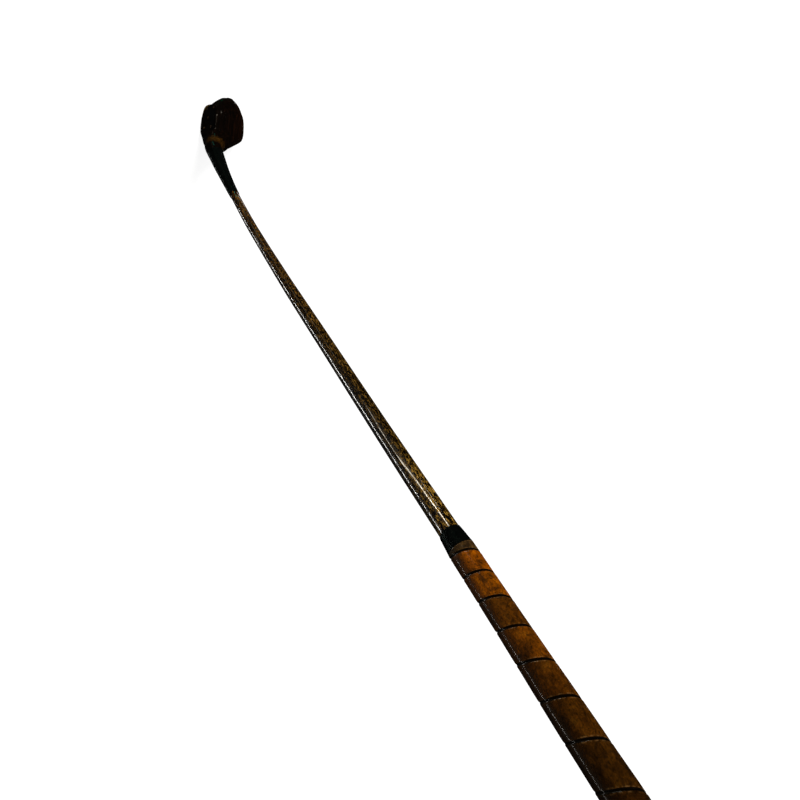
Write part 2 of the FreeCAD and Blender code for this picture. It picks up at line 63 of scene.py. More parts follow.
BOW = np.array([(-12.2, 24.06), (27.8, 20.0), (62.8, 16.35), (92.8, 13.35), (117.8, 10.82), (142.8, 8.7), (164.8, 7.05), (192.8, 5.38),
                (218.8, 4.05), (260.8, 2.05), (336.8, 0.2), (407.8, -0.75), (487.8, -0.9), (600.0, -0.9), (690.0, -0.7), (740.0, -0.33), (772.0, -0.06), (788.0, 0.0)])
SHAFT = np.array([(32, 4.6), (78, 4.9), (118, 5.15), (156, 5.3), (197, 5.5), (228, 5.65), (258, 5.78), (333, 6.1), (408, 6.6), (463, 7.0), (535, 7.3),
                  (610, 7.6), (660, 7.82), (710, 8.04), (750, 8.22), (780, 8.36), (805, 8.47), (835, 8.59), (880, 8.77), (938, 9.0), (1010, 9.35), (1080, 9.7)], float)
GRIP = np.array([(788.0, 10.3), (825.0, 10.5), (865.0, 10.85), (908.0, 11.5), (965.0, 11.98), (1074.0, 12.55)])
COLLAR_U, GRIP_U, GRIP_END = 772.0, 788.0, 1074.0
LISTING_T = 1.1


# ---- curves ----
def natural(xs, ys):
    n = len(xs)
    h = np.diff(xs)
    A = np.eye(n)
    d = np.zeros(n)
    for i in range(1, n - 1):
        A[i, i - 1], A[i, i], A[i, i + 1] = h[i - 1], 2 * (h[i - 1] + h[i]), h[i]
        d[i] = 6 * ((ys[i + 1] - ys[i]) / h[i] - (ys[i] - ys[i - 1]) / h[i - 1])
    m = np.linalg.solve(A, d)

    def f(x):
        x = np.asarray(x, float)
        i = np.clip(np.searchsorted(xs, x) - 1, 0, n - 2)
        hh = h[i]
        p, q = (xs[i + 1] - x) / hh, (x - xs[i]) / hh
        y = p * ys[i] + q * ys[i + 1] + ((p ** 3 - p) * m[i] + (q ** 3 - q) * m[i + 1]) * hh * hh / 6
        dy = (ys[i + 1] - ys[i]) / hh + (-(3 * p * p - 1) * m[i] + (3 * q * q - 1) * m[i + 1]) * hh / 6
        far = x >= xs[-1]
        return np.where(far, 0.0, y), np.where(far, 0.0, dy)
    return f


bow = natural(BOW[:, 0], BOW[:, 1])


def pchip(xs, Y, x):
    """Shape-preserving interpolation of the rows of Y at xs, for every x."""
    xs = np.asarray(xs, float)
    Y = np.asarray(Y, float)
    shp = Y.shape
    Y = Y.reshape(len(xs), -1)
    h = np.diff(xs)[:, None]
    d = np.diff(Y, axis=0) / h
    m = np.zeros_like(Y)
    a, b = d[:-1], d[1:]
    w1, w2 = 2 * h[1:] + h[:-1], h[1:] + 2 * h[:-1]
    ok = a * b > 0
    with np.errstate(divide="ignore", invalid="ignore"):
        mm = (w1 + w2) / (w1 / np.where(ok, a, 1) + w2 / np.where(ok, b, 1))
    m[1:-1] = np.where(ok, mm, 0.0)
    m[0], m[-1] = d[0], d[-1]
    i = np.clip(np.searchsorted(xs, x, side="right") - 1, 0, len(xs) - 2)
    hh = h[i]
    q = ((np.asarray(x) - xs[i]) / hh[:, 0])[:, None]
    out = (2 * q ** 3 - 3 * q * q + 1) * Y[i] + (q ** 3 - 2 * q * q + q) * hh * m[i] + (-2 * q ** 3 + 3 * q * q) * Y[i + 1] + (q ** 3 - q * q) * hh * m[i + 1]
    return out.reshape((len(x),) + shp[1:])


def rad(table, u):
    return np.interp(u, table[:, 0], table[:, 1])


def grad(u):
    return pchip(GRIP[:, 0], GRIP[:, 1], np.clip(np.atleast_1d(np.asarray(u, float)), 788.0, 1074.0))


def srad(u):
    return pchip(SHAFT[:, 0], SHAFT[:, 1], np.atleast_1d(np.asarray(u, float)))


def rod_points(u, th, r):
    """Points on round stock about the bowed centre line: u up the shaft, angle th from X towards W, radius r (all mm, any matching shapes)."""
    u, th, r = np.broadcast_arrays(np.asarray(u, float), np.asarray(th, float), np.asarray(r, float))
    o, do = bow(u)
    c = G + u[..., None] * S_UP + o[..., None] * (BOW_X * X_UP + BOW_W * W_UP)
    t = S_UP + do[..., None] * (BOW_X * X_UP + BOW_W * W_UP)
    t = t / np.linalg.norm(t, axis=-1, keepdims=True)
    w = np.cross(t, X_UP)
    w = w / np.linalg.norm(w, axis=-1, keepdims=True)
    w = np.where((w @ W_UP)[..., None] < 0, -w, w)
    e = np.cross(w, t)
    e = np.where((e @ X_UP)[..., None] < 0, -e, e)
    p = c + (r * np.cos(th))[..., None] * e + (r * np.sin(th))[..., None] * w
    flat = np.stack([r * np.cos(th), r * np.sin(th), u], axis=-1)
    return p, flat


# ---- meshes ----
def grid_mesh(name, P, close_r=False, close_n=True, cap0=False, cap1=False, attrs=None, sharp=40.0):
    """Quads over an R x N grid of points (mm), with fan caps; attrs are per-point vectors carried as mesh attributes."""
    R, N = P.shape[:2]
    verts = P.reshape(-1, 3) * MM
    extra = []
    idx = np.arange(R * N).reshape(R, N)
    rr = idx if not close_r else np.vstack([idx, idx[:1]])
    cc = rr if not close_n else np.hstack([rr, rr[:, :1]])
    a, b, c, d = cc[:-1, :-1], cc[:-1, 1:], cc[1:, 1:], cc[1:, :-1]
    quads = np.stack([a, b, c, d], -1).reshape(-1, 4)
    faces = quads.tolist()
    n0 = len(verts)
    add_attr = {k: [] for k in (attrs or {})}
    for flag, row in ((cap0, 0), (cap1, R - 1)):
        if flag:
            extra.append(verts[idx[row]].mean(0))
            for k in add_attr:
                add_attr[k].append(np.asarray(attrs[k]).reshape(R, N, -1)[row].mean(0))
            ci = n0 + len(extra) - 1
            ring = idx[row]
            for j in range(N):
                faces.append([int(ring[j]), int(ring[(j + 1) % N]), ci])
    if extra:
        verts = np.vstack([verts, np.array(extra)])
    me = bpy.data.meshes.new(name)
    me.from_pydata(verts.tolist(), [], faces)
    me.update()
    for k, v in (attrs or {}).items():
        v = np.asarray(v, float).reshape(R * N, -1)
        if add_attr[k]:
            v = np.vstack([v, np.array(add_attr[k])])
        if v.shape[1] == 1:
            at = me.attributes.new(k, "FLOAT", "POINT")
            at.data.foreach_set("value", v.astype(np.float32).ravel())
        else:
            at = me.attributes.new(k, "FLOAT_VECTOR", "POINT")
            at.data.foreach_set("vector", v[:, :3].astype(np.float32).ravel())
    bm = bmesh.new()
    bm.from_mesh(me)
    bmesh.ops.remove_doubles(bm, verts=bm.verts, dist=2e-7)
    bmesh.ops.recalc_face_normals(bm, faces=bm.faces)
    bm.to_mesh(me)
    bm.free()
    smooth(me, sharp)
    ob = bpy.data.objects.new(name, me)
    bpy.context.scene.collection.objects.link(ob)
    return ob


def smooth(me, sharp=40.0):
    me.polygons.foreach_set("use_smooth", [True] * len(me.polygons))
    if sharp:
        me.set_sharp_from_angle(angle=math.radians(sharp))
    me.update()


def wob(x, y, seed, freq=1.0):
    """Smooth seeded wander between about -1 and 1."""
    r = np.random.default_rng(seed)
    out = 0.0
    for _ in range(5):
        fx, fy, ph = r.uniform(0.4, 1.6) * freq, r.integers(-3, 4), r.uniform(0, 6.283)
        out = out + np.sin(x * fx + y * fy + ph) * r.uniform(0.2, 0.5)
    return out / 1.2


# =====================================================================
# material helpers
# =====================================================================
class Mat:
    def __init__(self, name):
        self.m = bpy.data.materials.new(name)
        self.m.use_nodes = True
        self.n = self.m.node_tree.nodes
        self.l = self.m.node_tree.links
        self.n.clear()
        self.out = self.n.new("ShaderNodeOutputMaterial")
        self.b = self.n.new("ShaderNodeBsdfPrincipled")
        self.l.new(self.b.outputs[0], self.out.inputs["Surface"])
        self.tc = self.n.new("ShaderNodeTexCoord")

    def obj(self):
        return self.tc.outputs["Object"]

    def attr(self, name, out="Vector"):
        a = self.n.new("ShaderNodeAttribute")
        a.attribute_name = name
        return a.outputs[out]

    def mapping(self, vec, scale=(1, 1, 1), rot=(0, 0, 0), loc=(0, 0, 0)):
        k = self.n.new("ShaderNodeMapping")
        k.inputs["Location"].default_value = loc
        k.inputs["Rotation"].default_value = rot
        k.inputs["Scale"].default_value = scale
        self.l.new(vec, k.inputs["Vector"])
        return k.outputs[0]

    def noise(self, vec, scale, detail=4.0, rough=0.55, distort=0.0):
        k = self.n.new("ShaderNodeTexNoise")
        k.inputs["Scale"].default_value = scale
        k.inputs["Detail"].default_value = detail
        k.inputs["Roughness"].default_value = rough
        k.inputs["Distortion"].default_value = distort
        self.l.new(vec, k.inputs["Vector"])
        return k.outputs["Fac"]

    def voronoi(self, vec, scale, feature="F1", out="Distance"):
        k = self.n.new("ShaderNodeTexVoronoi")
        k.feature = feature
        k.inputs["Scale"].default_value = scale
        self.l.new(vec, k.inputs["Vector"])
        return k.outputs[out]

    def ramp(self, fac, stops, interp="LINEAR"):
        k = self.n.new("ShaderNodeValToRGB")
        k.color_ramp.interpolation = interp
        e = k.color_ramp.elements
        while len(e) > 1:
            e.remove(e[-1])
        e[0].position = stops[0][0]
        e[0].color = self.c4(stops[0][1])
        for p, c in stops[1:]:
            q = e.new(p)
            q.color = self.c4(c)
        self.l.new(fac, k.inputs[0])
        return k.outputs[0]

    @staticmethod
    def c4(c):
        if isinstance(c, (int, float)):
            return (c, c, c, 1.0)
        return (c[0], c[1], c[2], 1.0)

    def mix(self, fac, a, b, blend="MIX"):
        k = self.n.new("ShaderNodeMix")
        k.data_type = "RGBA"
        k.blend_type = blend
        for sock, v in ((k.inputs[0], fac), (k.inputs[6], a), (k.inputs[7], b)):
            if isinstance(v, bpy.types.NodeSocket):
                self.l.new(v, sock)
            elif sock == k.inputs[0]:
                sock.default_value = v
            else:
                sock.default_value = self.c4(v)
        return k.outputs[2]

    def math(self, op, a, b=0.0, clamp=False):
        k = self.n.new("ShaderNodeMath")
        k.operation = op
        k.use_clamp = clamp
        for sock, v in ((k.inputs[0], a), (k.inputs[1], b)):
            if isinstance(v, bpy.types.NodeSocket):
                self.l.new(v, sock)
            else:
                sock.default_value = v
        return k.outputs[0]

    def xyz(self, vec):
        k = self.n.new("ShaderNodeSeparateXYZ")
        self.l.new(vec, k.inputs[0])
        return k.outputs

    def blob(self, vec, centre, radius):
        """1 at centre, 0 at radius, in metres."""
        k = self.n.new("ShaderNodeVectorMath")
        k.operation = "DISTANCE"
        self.l.new(vec, k.inputs[0])
        k.inputs[1].default_value = centre
        return self.math("SUBTRACT", 1.0, self.math("DIVIDE", k.outputs["Value"], radius), clamp=True)

    def bump(self, height, dist, strength=1.0, under=None):
        k = self.n.new("ShaderNodeBump")
        k.inputs["Strength"].default_value = strength
        k.inputs["Distance"].default_value = dist
        self.l.new(height, k.inputs["Height"])
        if under is not None:
            self.l.new(under, k.inputs["Normal"])
        return k.outputs[0]

    def put(self, **kw):
        names = {"color": "Base Color", "rough": "Roughness", "metal": "Metallic", "spec": "Specular IOR Level", "tint": "Specular Tint",
                 "coat": "Coat Weight", "coat_rough": "Coat Roughness", "normal": "Normal", "coat_normal": "Coat Normal",
                 "sheen": "Sheen Weight", "sheen_rough": "Sheen Roughness", "sheen_tint": "Sheen Tint", "ior": "IOR", "coat_ior": "Coat IOR"}
        for k, v in kw.items():
            s = self.b.inputs[names[k]]
            if isinstance(v, bpy.types.NodeSocket):
                self.l.new(v, s)
            elif isinstance(v, (int, float)):
                s.default_value = v
            else:
                s.default_value = self.c4(v)
        return self.m


# =====================================================================
# materials
# =====================================================================
def head_wood():
    m = Mat("head_wood")
    o = m.obj()
    along = m.mapping(o, scale=(1.0, 0.07, 1.0), rot=(0.12, 0.0, 0.06))
    grain = m.noise(along, 520.0, 6.0, 0.62, 0.6)
    fine = m.noise(along, 2100.0, 3.0, 0.6)
    broad = m.noise(o, 42.0, 3.0, 0.5, 0.4)
    col = m.ramp(grain, [(0.28, (0.0006, 0.0005, 0.0004)), (0.5, (0.0017, 0.0009, 0.0005)), (0.62, (0.0045, 0.0018, 0.0008)), (0.8, (0.013, 0.0045, 0.0017))])
    red = m.ramp(grain, [(0.3, (0.001, 0.0006, 0.0004)), (0.52, (0.005, 0.0018, 0.0007)), (0.75, (0.021, 0.0062, 0.002))])
    # redder towards the back of the crown
    back = m.ramp(m.math("ADD", m.math("MULTIPLY", m.xyz(o)[0], 22.0), m.math("MULTIPLY", broad, 0.55)), [(0.32, 0.0), (0.72, 1.0)])
    col = m.mix(back, col, red)
    # varnish rubbed through where the head runs into the neck, with a painted highlight of the light falling there
    neck_rub_and_light = m.blob(o, (-0.0225, -0.047, 0.049), 0.027)
    worn_and_lit_patch = m.ramp(m.math("MULTIPLY", neck_rub_and_light, m.math("ADD", m.math("MULTIPLY", grain, 1.5), m.math("MULTIPLY", broad, 0.7))), [(0.42, 0.0), (0.78, 1.0)])
    col = m.mix(worn_and_lit_patch, col, m.ramp(grain, [(0.3, (0.008, 0.0032, 0.0005)), (0.55, (0.036, 0.015, 0.0018)), (0.75, (0.085, 0.036, 0.0055))]))
    # small pale dents and rubbed spots
    spots = m.ramp(m.voronoi(o, 230.0), [(0.03, 1.0), (0.075, 0.0)])
    keep = m.ramp(m.noise(o, 60.0, 2.0), [(0.6, 0.0), (0.66, 1.0)])
    chips = m.math("MULTIPLY", spots, keep)
    col = m.mix(chips, col, (0.045, 0.02, 0.008))
    h = m.math("ADD", m.math("MULTIPLY", grain, 0.7), m.math("MULTIPLY", fine, 0.3))
    n1 = m.bump(h, 0.00012, 0.55)
    dent = m.ramp(m.voronoi(o, 95.0), [(0.0, 0.0), (0.16, 1.0)])
    n2 = m.bump(dent, 0.00018, 0.5, n1)
    rough = m.ramp(m.noise(o, 130.0, 5.0, 0.65), [(0.3, 0.24), (0.7, 0.5)])
    rough = m.mix(chips, rough, (0.7, 0.7, 0.7))
    return m.put(color=col, rough=rough, spec=0.015, coat=0.12, coat_rough=0.07, normal=n2)


def hickory():
    m = Mat("hickory")
    v = m.attr("rod")
    long = m.mapping(v, scale=(1.0, 1.0, 0.035))
    longer = m.mapping(v, scale=(1.0, 1.0, 0.011), loc=(0.01, 0.02, 0.0))
    broad = m.noise(m.mapping(v, scale=(1, 1, 0.09)), 150.0, 3.0, 0.5, 0.3)
    streak = m.noise(long, 640.0, 5.0, 0.65, 0.5)
    pores = m.noise(longer, 1900.0, 3.0, 0.7)
    fleck = m.noise(m.mapping(v, scale=(1, 1, 0.24)), 900.0, 2.0, 0.6, 1.2)
    tone = m.math("ADD", m.math("MULTIPLY", fleck, 0.76), m.math("ADD", m.math("MULTIPLY", streak, 0.16), m.math("MULTIPLY", broad, 0.1)))
    col = m.ramp(tone, [(0.46, (0.001, 0.0006, 0.0003)), (0.508, (0.005, 0.0024, 0.0005)), (0.535, (0.033, 0.017, 0.002)), (0.565, (0.135, 0.075, 0.008)), (0.63, (0.42, 0.26, 0.06))])
    dark = m.ramp(pores, [(0.34, 1.0), (0.44, 0.0)])
    col = m.mix(dark, col, (0.0016, 0.0009, 0.0005))
    # greyer towards the head end, uneven along the middle, warmer and brighter towards the grip
    z = m.ramp(m.xyz(v)[2], [(0.2, (0.68, 0.48, 0.34)), (0.36, (0.42, 0.31, 0.22)), (0.5, (0.55, 0.45, 0.33)), (0.66, (0.4, 0.35, 0.27)), (0.77, (1.25, 1.12, 0.75))])
    col = m.mix(1.0, col, z, "MULTIPLY")
    h = m.math("ADD", m.math("MULTIPLY", pores, 0.6), m.math("MULTIPLY", streak, 0.4))
    n = m.bump(h, 0.00022, 0.75)
    rough = m.ramp(fleck, [(0.3, 0.2), (0.55, 0.34), (0.75, 0.55)])
    shine = m.ramp(fleck, [(0.36, 0.75), (0.5, 0.4), (0.62, 0.12)])
    return m.put(color=col, rough=rough, spec=0.04, coat=shine, coat_rough=0.06, normal=n)


def leather():
    m = Mat("grip_leather")
    v = m.attr("rod")
    tint = m.attr("band_tone")
    edge = m.attr("edge", "Fac")
    blotch = m.noise(m.mapping(v, scale=(1, 1, 0.6)), 170.0, 5.0, 0.6, 0.7)
    speck = m.noise(m.mapping(v, scale=(1, 1, 0.7)), 760.0, 4.0, 0.72, 0.6)
    col = m.ramp(blotch, [(0.28, (0.05, 0.015, 0.0005)), (0.44, (0.125, 0.034, 0.0007)), (0.58, (0.2, 0.054, 0.0009)), (0.78, (0.3, 0.1, 0.003))])
    col = m.mix(1.0, col, m.ramp(speck, [(0.34, (0.22, 0.24, 0.3)), (0.46, (0.8, 0.85, 0.8)), (0.56, (1.05, 1.0, 1.0)), (0.7, (1.6, 1.75, 1.9))]), "MULTIPLY")
    col = m.mix(1.0, col, tint, "MULTIPLY")
    grime = m.ramp(m.noise(v, 95.0, 5.0, 0.7, 1.0), [(0.52, 0.0), (0.68, 0.85)])
    col = m.mix(grime, col, (0.006, 0.003, 0.0012))
    # lighter tan along the raised lip of each turn: rubbed leather, with a painted highlight on the raised edge
    rubbed_and_lit_edge = m.math("MULTIPLY", m.ramp(edge, [(0.02, 0.0), (0.16, 1.0), (0.3, 0.6), (0.4, 0.0)]), m.ramp(m.noise(v, 420.0, 3.0), [(0.45, 0.0), (0.65, 0.6)]))
    col = m.mix(rubbed_and_lit_edge, col, (0.2, 0.1, 0.03))
    deep = m.ramp(edge, [(0.3, 0.0), (0.46, 1.0)])
    col = m.mix(deep, col, (0.0025, 0.0015, 0.0008))
    grain = m.voronoi(m.mapping(v, scale=(1, 1, 0.8)), 950.0)
    crease = m.noise(m.mapping(v, scale=(1, 1, 2.2)), 260.0, 6.0, 0.7, 0.6)
    h = m.math("ADD", m.math("MULTIPLY", grain, 0.5), m.math("MULTIPLY", crease, 1.0))
    n = m.bump(h, 0.00035, 0.8)
    rough = m.ramp(blotch, [(0.3, 0.42), (0.7, 0.72)])
    return m.put(color=col, rough=rough, spec=0.03, tint=(1.0, 0.6, 0.2), coat=0.1, coat_rough=0.15, normal=n)


def thread(name, base, rough=0.24):
    m = Mat(name)
    v = m.attr("rod")
    fib = m.noise(m.mapping(v, scale=(0.25, 0.25, 1.0)), 5200.0, 3.0, 0.6)
    wax = m.noise(v, 240.0, 4.0, 0.6)
    col = m.mix(m.ramp(wax, [(0.35, 0.0), (0.7, 1.0)]), base, tuple(c * 2.6 for c in base))
    col = m.mix(m.ramp(fib, [(0.62, 0.0), (0.8, 0.6)]), col, (0.012, 0.011, 0.009))
    r = m.ramp(wax, [(0.3, rough), (0.75, rough + 0.3)])
    n = m.bump(fib, 0.00006, 0.6)
    return m.put(color=col, rough=r, spec=0.015, tint=(0.3, 1.0, 0.85), normal=n, coat=0.012, coat_rough=0.1)


def cloth():
    m = Mat("listing_cloth")
    o = m.mapping(m.obj(), rot=(math.radians(-33.0), 0, 0))
    w1 = m.n.new("ShaderNodeTexWave")
    w1.wave_type = "BANDS"
    w1.bands_direction = "Z"
    w1.inputs["Scale"].default_value = 320.0
    w1.inputs["Distortion"].default_value = 1.2
    m.l.new(o, w1.inputs["Vector"])
    n0 = m.noise(o, 600.0, 4.0, 0.6)
    h = m.math("ADD", m.math("MULTIPLY", w1.outputs["Fac"], 0.6), m.math("MULTIPLY", n0, 0.5))
    col = m.ramp(h, [(0.3, (0.002, 0.0014, 0.0009)), (0.8, (0.014, 0.009, 0.005))])
    return m.put(color=col, rough=0.92, spec=0.15, normal=m.bump(h, 0.0003, 0.7))


def fibre():
    m = Mat("face_fibre")
    o = m.obj()
    base = m.noise(o, 300.0, 5.0, 0.65, 0.4)
    col = m.ramp(base, [(0.3, (0.0012, 0.0011, 0.0011)), (0.7, (0.0038, 0.0033, 0.003))])
    scr = m.noise(m.mapping(o, scale=(1.0, 0.05, 1.0), rot=(0.5, 0, 0)), 1800.0, 2.0)
    marks = m.ramp(scr, [(0.68, 0.0), (0.74, 1.0)])
    col = m.mix(marks, col, (0.016, 0.013, 0.01))
    dim = m.ramp(m.voronoi(o, 170.0), [(0.0, 0.0), (0.25, 1.0)])
    n = m.bump(dim, 0.00014, 0.5, m.bump(scr, 0.00006, 0.4))
    rough = m.ramp(base, [(0.3, 0.38), (0.7, 0.6)])
    return m.put(color=col, rough=rough, spec=0.015, normal=n)


def metal(name, bright, dull, rough=0.3, metallic=1.0):
    m = Mat(name)
    o = m.obj()
    t = m.noise(o, 210.0, 6.0, 0.7, 0.6)
    scr = m.noise(m.mapping(o, scale=(0.06, 1.0, 1.0), rot=(0, 0, 0.5)), 2600.0, 2.0)
    col = m.mix(m.ramp(t, [(0.35, 0.0), (0.68, 1.0)]), bright, dull)
    col = m.mix(m.ramp(m.voronoi(o, 420.0), [(0.02, 0.8), (0.1, 0.0)]), col, tuple(c * 0.25 for c in dull))
    r = m.ramp(t, [(0.3, rough), (0.7, rough + 0.3)])
    n = m.bump(m.math("ADD", m.math("MULTIPLY", scr, 0.6), m.math("MULTIPLY", t, 0.4)), 0.00005, 0.7)
    return m.put(color=col, rough=r, metal=metallic, normal=n)


M_HEAD = head_wood()
M_HICK = hickory()
M_LEATHER = leather()
M_THREAD = thread("tarred_thread", (0.0007, 0.0009, 0.0008))
M_CLOTH = cloth()
M_FIBRE = fibre()
M_BRASS = metal("old_brass", (0.56, 0.36, 0.12), (0.16, 0.095, 0.035), 0.28)
M_SCREW = metal("blackened_brass", (0.05, 0.025, 0.007), (0.012, 0.007, 0.003), 0.5, 0.8)
M_LEAD = metal("dull_lead", (0.16, 0.16, 0.17), (0.07, 0.07, 0.075), 0.5)


def paint(ob, mat):
    if not ob.data.materials:
        ob.data.materials.append(mat)
    for s in ob.material_slots:
        s.material = mat


# =====================================================================
# head of the club
# =====================================================================
def quarter(K, n):
    """Even points along a quarter of a unit superellipse, from (1,0) to (0,1), end left off."""
    t = np.linspace(0, 1, 3001)
    t = t * t * (3 - 2 * t)
    t = t * t * (3 - 2 * t)
    a = t * math.pi / 2
    x, y = np.abs(np.cos(a)) ** (2 / n), np.abs(np.sin(a)) ** (2 / n)
    x[-1], y[0] = 0.0, 0.0
    return x, y


def section(c, ex, ev, af, ab, ht, hb, n, nf, nb, K):
    out = []
    for sx, sy, m in ((1, 1, n), (-1, 1, n), (-1, -1, nf), (1, -1, nb)):
        x, y = quarter(K, m)
        if sx * sy < 0:
            x, y = x[::-1], y[::-1]
        px, py = sx * x * (ab if sx > 0 else af), sy * y * (ht if sy > 0 else hb)
        s = np.concatenate([[0], np.cumsum(np.hypot(np.diff(px), np.diff(py)))])
        k = np.arange(K) / K * s[-1]
        qx, qy = np.interp(k, s, px), np.interp(k, s, py)
        out.append(c + np.outer(qx, ex) + np.outer(qy, ev))
    return np.vstack(out)


K = 46
EX, EZ = np.array([1.0, 0, 0]), np.array([0, 0, 1.0])
rings = []
for b, f, k, zt, zb, n in BODY:
    xc, zc = (f + k) / 2, (zt + zb) / 2
    rings.append(section(np.array([HX + xc, HY + b, zc]), EX, EZ, xc - f, k - xc, zt - zc, zc - zb, n, 5.0 if b < 40 else (3.6 if b < 50 else 2.6), 2.8, K))
toe = []
c0 = rings[0].mean(0)
for a in (84, 74, 63, 51, 39, 27, 14):
    r = math.radians(a)
    toe.append(c0 + (rings[0] - c0) * math.cos(r) + np.array([0, 1.5 * math.sin(r), 0]))
for be, d0, d1, f, k, n, nf, nb in FAN:
    a = math.radians(be)
    xc, dc, hh = (f + k) / 2, (d0 + d1) / 2, (d1 - d0) / 2
    c = np.array([HX + xc, HY + 8.0 - dc * math.sin(a), 80.0 - dc * math.cos(a)])
    rings.append(section(c, EX, np.array([0, math.sin(a), math.cos(a)]), xc - f, k - xc, hh, hh, n, nf, nb, K))
N4 = 4 * K
TH = np.arange(N4) / N4 * 2 * math.pi
for u in (62.8, 69.0, 76.0, 77.5, 82.0, 98.0, 120.0, 140.0, 156.0):
    r = rad(NECK, u) - (0.1 if u < 77 else 0.95)
    rings.append(rod_points(np.full(N4, u), TH, np.full(N4, r))[0])
rings = np.array(rings)
dist = np.concatenate([[0], np.cumsum(np.linalg.norm(np.diff(rings, axis=0), axis=2).mean(1))])
marks = np.linspace(0, dist[-1], int(dist[-1] / 1.0) + 1)
dense = pchip(dist, rings, marks)
dense = np.concatenate([np.array(toe), dense], axis=0)


def face_x(b, z):
    g = np.clip((b + 20.0) / 32.0, 0, 1)
    g = g * g * (3 - 2 * g)
    roll = 0.5 * ((z - 19.0) / 19.0) ** 2
    return HX + g * (1.5 + 2.5 * ((b - 26.0) / 25.0) ** 2 + math.tan(math.radians(14.0)) * z + roll) + (1 - g) * (-14.0)


def soft_max(v, lim, w):
    q = np.clip((v - lim) / w, -60, 60)
    return np.where(q > 30, v, lim + w * np.log1p(np.exp(q)))


fx = face_x(dense[..., 1] - HY, dense[..., 2])
dense[..., 0] = soft_max(dense[..., 0], fx, 0.22)
dense[..., 2] = soft_max(dense[..., 2], 0.0, 0.3)
head = grid_mesh("head_wood_block", dense, cap0=True, cap1=True, sharp=0)


def prism(name, outline, z0, z1, place):
    bm = bmesh.new()
    lo = [bm.verts.new(place @ Vector((x * MM, y * MM, z0 * MM))) for x, y in outline]
    hi = [bm.verts.new(place @ Vector((x * MM, y * MM, z1 * MM))) for x, y in outline]
    bm.faces.new(lo[::-1])
    bm.faces.new(hi)
    for i in range(len(lo)):
        j = (i + 1) % len(lo)
        bm.faces.new((lo[i], lo[j], hi[j], hi[i]))
    bmesh.ops.recalc_face_normals(bm, faces=bm.faces)
    me = bpy.data.meshes.new(name)
    bm.to_mesh(me)
    bm.free()
    ob = bpy.data.objects.new(name, me)
    bpy.context.scene.collection.objects.link(ob)
    return ob


def round_box(hx, hy, r, seg=10):
    pts = []
    for cx, cy, a0 in ((hx - r, hy - r, 0), (-hx + r, hy - r, 90), (-hx + r, -hy + r, 180), (hx - r, -hy + r, 270)):
        for i in range(seg + 1):
            a = math.radians(a0 + 90.0 * i / seg)
            pts.append((cx + r * math.cos(a), cy + r * math.sin(a)))
    return pts


def closed_spline(pts, per=12):
    p = np.array(pts, float)
    n = len(p)
    # periodic cubic through the points, by chord length
    h = np.linalg.norm(np.roll(p, -1, 0) - p, axis=1)
    A = np.zeros((n, n))
    d = np.zeros((n, 2))
    for i in range(n):
        a, b = (i - 1) % n, (i + 1) % n
        A[i, a] += h[a]
        A[i, i] += 2 * (h[a] + h[i])
        A[i, b] += h[i]
        d[i] = 6 * ((p[b] - p[i]) / h[i] - (p[i] - p[a]) / h[a])
    m = np.linalg.solve(A, d)
    out = []
    for i in range(n):
        b = (i + 1) % n
        for k in range(per):
            q = k / per
            pp = 1 - q
            out.append(pp * p[i] + q * p[b] + ((pp ** 3 - pp) * m[i] + (q ** 3 - q) * m[b]) * h[i] ** 2 / 6)
    return out


def grow(outline, by):
    p = np.array(outline, float)
    t = np.roll(p, -1, 0) - np.roll(p, 1, 0)
    nrm = np.stack([t[:, 1], -t[:, 0]], 1)
    nrm /= np.linalg.norm(nrm, axis=1, keepdims=True)
    c = p.mean(0)
    if ((p - c) * nrm).sum() < 0:
        nrm = -nrm
    return (p + nrm * by).tolist()


fl = math.radians(14.0)
iy, iz = -1.5, 18.5
ix = float(face_x(np.array(iy - HY), np.array(iz)))
face_place = Matrix(((0, math.sin(fl), -math.cos(fl), ix * MM), (-1, 0, 0, iy * MM), (0, math.cos(fl), math.sin(fl), iz * MM), (0, 0, 0, 1)))
slip = prism("slip_cut", round_box(20.14, 12.64, 6.14), -5.05, 9.0, face_place)
OUTLINE = [(-28.0, 1.0), (-27.3, 12.0), (-24.0, 20.5), (-15.5, 25.0), (-4.0, 25.0), (6.5, 20.5), (13.0, 12.5), (15.5, 2.0), (13.5, -8.5), (7.0, -16.5),
           (-3.5, -20.5), (-15.0, -20.5), (-23.5, -16.0), (-27.0, -8.5)]
plate_cut = prism("plate_cut", grow(closed_spline(OUTLINE), 0.14), -6.0, 1.63, Matrix.Identity(4))
for cutter in (slip, plate_cut):
    md = head.modifiers.new("let_in", "BOOLEAN")
    md.operation = "DIFFERENCE"
    md.solver = "EXACT"
    md.object = cutter
bpy.context.view_layer.update()
made = bpy.data.meshes.new_from_object(head.evaluated_get(bpy.context.evaluated_depsgraph_get()))
head.modifiers.clear()
old = head.data
head.data = made
bpy.data.meshes.remove(old)
for cutter in (slip, plate_cut):
    me = cutter.data
    bpy.data.objects.remove(cutter)
    bpy.data.meshes.remove(me)
smooth(head.data, 33.0)
head.data.materials.clear()
paint(head, M_HEAD)
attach(head, "root")
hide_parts("head_block")

# =====================================================================
# shaft: planed hickory, faintly uneven from the spokeshave
# =====================================================================
NS = 96
us = np.concatenate([np.arange(32.0, 1077.0, 3.0), [1077.0, 1078.2, 1079.2, 1079.8, 1080.0]])
th = np.arange(NS) / NS * 2 * math.pi
U, T = np.meshgrid(us, th, indexing="ij")
Rr = srad(us)[:, None] + 0.045 * wob(U / 28.0, T, 11) + 0.03 * wob(U / 9.0, T, 12)
shrink = np.array([0.0, 0.15, 0.5, 1.1, 2.2])
Rr[-5:] -= shrink[:, None]
P, F = rod_points(U, T, Rr)
shaft = grid_mesh("hickory_shaft", P, cap0=True, cap1=True, attrs={"rod": F * MM}, sharp=45)
paint(shaft, M_HICK)
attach(shaft, "root")
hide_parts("shaft")


